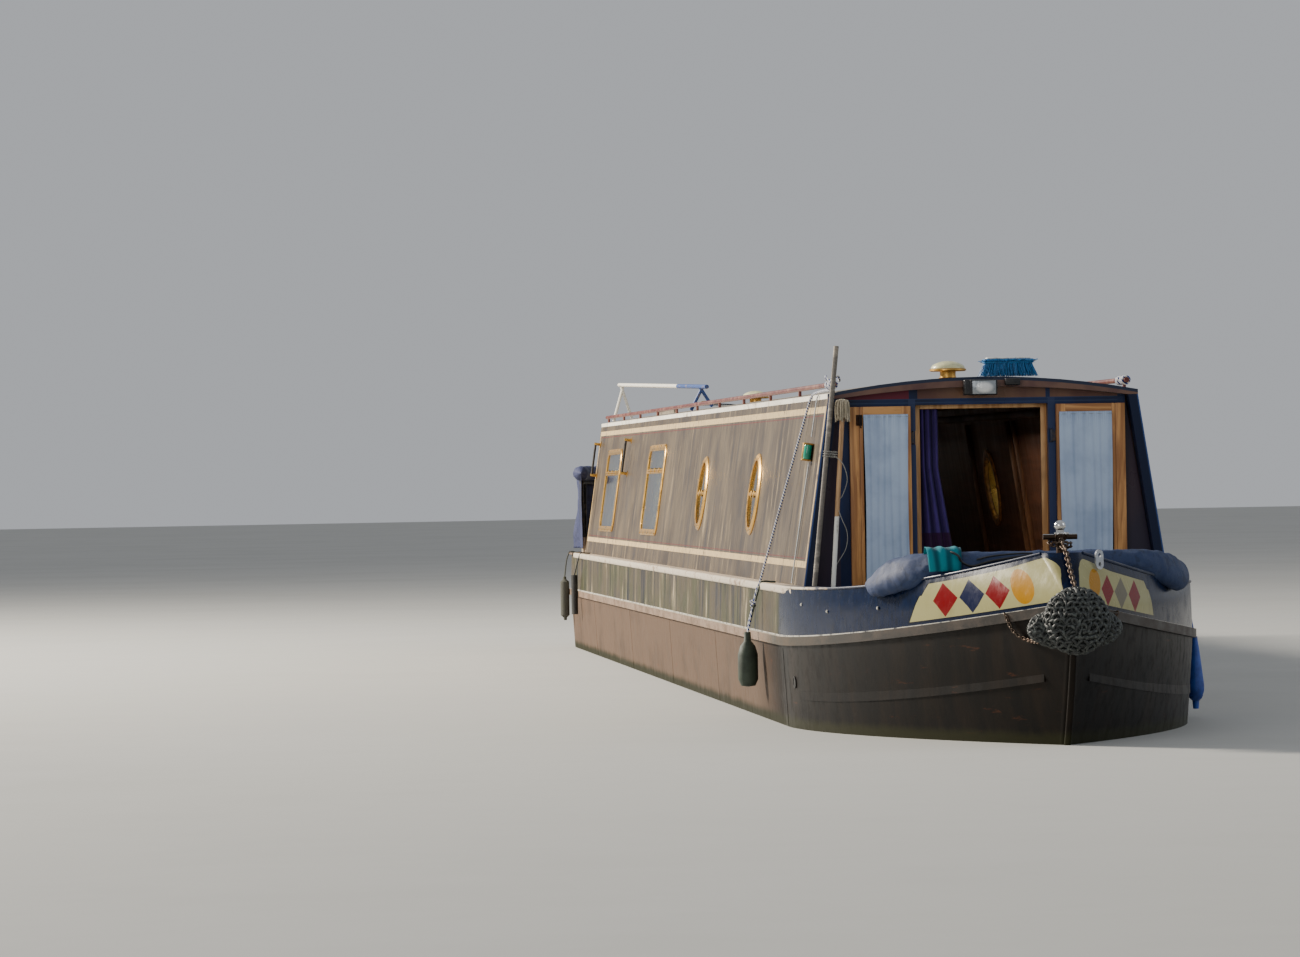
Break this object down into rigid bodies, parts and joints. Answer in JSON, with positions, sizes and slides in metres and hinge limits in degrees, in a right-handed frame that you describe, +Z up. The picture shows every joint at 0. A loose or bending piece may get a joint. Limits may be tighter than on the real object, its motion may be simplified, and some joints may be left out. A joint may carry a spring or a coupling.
{
  "type": "steel narrowboat",
  "caption": "Steel canal narrowboat afloat, with a long cabin, well deck, folding front doors, painted bow panels, rope fenders, tiller and propeller.",
  "frame": {"origin": "amidships on the centreline at the waterline", "axes": "+X forward to the bow, +Y to port, +Z up"},
  "size_m": [17.58, 2.298, 2.6052],
  "materials": {
    "hull_paint": "gloss navy, weathered",
    "blacking": "bitumen blacking",
    "strake": "rubbed and rusty",
    "deck_paint": "non-slip deck paint",
    "cabin_paint": "weathered gloss maroon",
    "roof_paint": "matt cream",
    "bulkhead_paint": "gloss navy",
    "lining": "dark boards",
    "black_metal": "satin black",
    "brass": "polished, tarnished",
    "oak": "varnished",
    "curtain": "plain cotton",
    "chrome": "bright",
    "tiller_steel": "painted steel",
    "bronze": "dull",
    "red_paint": "gloss red",
    "red_lens": "lens",
    "green_lens": "lens",
    "fender_rope": "knotted rope",
    "canvas": "proofed canvas",
    "pole_wood": "bare, part painted white",
    "white_paint": "gloss white",
    "blue_plastic": "moulded",
    "green_rubber": "matt",
    "black_rubber": "matt",
    "grey_rubber": "matt",
    "purple_cloth": "plain cotton"
  },
  "bodies": {
    "root": {"bow_shell": "hull_paint", "hull_side_port": "hull_paint", "hull_side_stbd": "hull_paint", "stern_side_port": "hull_paint", "stern_side_stbd": "hull_paint", "counter": "hull_paint", "baseplate": "blacking", "sternpost": "blacking", "rubbing_strake_port": "strake", "rubbing_strake_stbd": "strake", "foredeck": "deck_paint", "well_floor": "deck_paint", "side_deck_port": "deck_paint", "side_deck_stbd": "deck_paint", "stern_deck": "deck_paint", "cabin_side_port": "cabin_paint", "cabin_side_stbd": "cabin_paint", "cabin_roof": "roof_paint", "front_bulkhead": "bulkhead_paint", "rear_bulkhead": "bulkhead_paint", "cabin_floor": "lining", "engine": "black_metal", "porthole_fore_port": "brass", "porthole_mid_port": "brass", "window_mid_port": "brass", "window_aft_port": "brass", "porthole_fore_stbd": "brass", "porthole_mid_stbd": "brass", "window_mid_stbd": "brass", "window_aft_stbd": "brass", "t_stud": "chrome", "handrail_port": "red_paint", "handrail_stbd": "red_paint", "headlamp": "black_metal", "nav_lamp_port": "red_lens", "nav_lamp_stbd": "green_lens", "vent_fore": "brass", "vent_aft": "brass", "bow_fender": "fender_rope", "bow_cover": "canvas", "stern_hood": "canvas", "corner_pole": "tiller_steel", "mop": "pole_wood", "boat_pole": "white_paint", "fender_port": "blue_plastic", "fender_fore_stbd": "green_rubber", "fender_aft_stbd": "black_rubber", "fender_stern_stbd": "grey_rubber", "doorway_curtain": "purple_cloth", "deck_brush": "blue_plastic"},
    "front_door_port": {"front_door_port": "oak", "door_curtain_port": "curtain"},
    "front_door_stbd": {"front_door_stbd": "oak", "door_curtain_stbd": "curtain"},
    "rear_door_port": {"rear_door_port": "oak"},
    "rear_door_stbd": {"rear_door_stbd": "oak"},
    "slide_hatch": {"slide_hatch": "bulkhead_paint"},
    "locker_lid": {"locker_lid": "deck_paint"},
    "rudder": {"rudder": "tiller_steel"},
    "propeller": {"propeller": "bronze"}
  },
  "joints": [
    {"name": "front_door_port_hinge", "type": "hinge", "parent": "root", "child": "front_door_port", "pos_m": [6.137, 0.3565, 1], "axis": [0, 0, -1], "range_deg": [0, 180]},
    {"name": "front_door_stbd_hinge", "type": "hinge", "parent": "root", "child": "front_door_stbd", "pos_m": [6.137, -0.3525, 1], "axis": [0, 0, 1], "range_deg": [0, 180]},
    {"name": "rear_door_port_hinge", "type": "hinge", "parent": "root", "child": "rear_door_port", "pos_m": [-7.528, 0.333, 1.2], "axis": [0, 0, -1], "range_deg": [0, 175]},
    {"name": "rear_door_stbd_hinge", "type": "hinge", "parent": "root", "child": "rear_door_stbd", "pos_m": [-7.528, -0.333, 1.2], "axis": [0, 0, 1], "range_deg": [0, 175]},
    {"name": "hatch_slide", "type": "slide", "parent": "root", "child": "slide_hatch", "axis": [1, 0, -0.0043], "range_m": [0, 0.64]},
    {"name": "locker_lid_hinge", "type": "hinge", "parent": "root", "child": "locker_lid", "pos_m": [8.187, 0, 0.84], "axis": [0, 1, 0], "range_deg": [0, 100]},
    {"name": "rudder_stock", "type": "hinge", "parent": "root", "child": "rudder", "pos_m": [-8.285, 0, 0], "axis": [0, 0, 1], "range_deg": [-40, 40]},
    {"name": "propeller_shaft", "type": "hinge", "parent": "root", "child": "propeller", "pos_m": [-7.645, 0, -0.3], "axis": [1, 0, 0], "continuous": true}
  ]
}
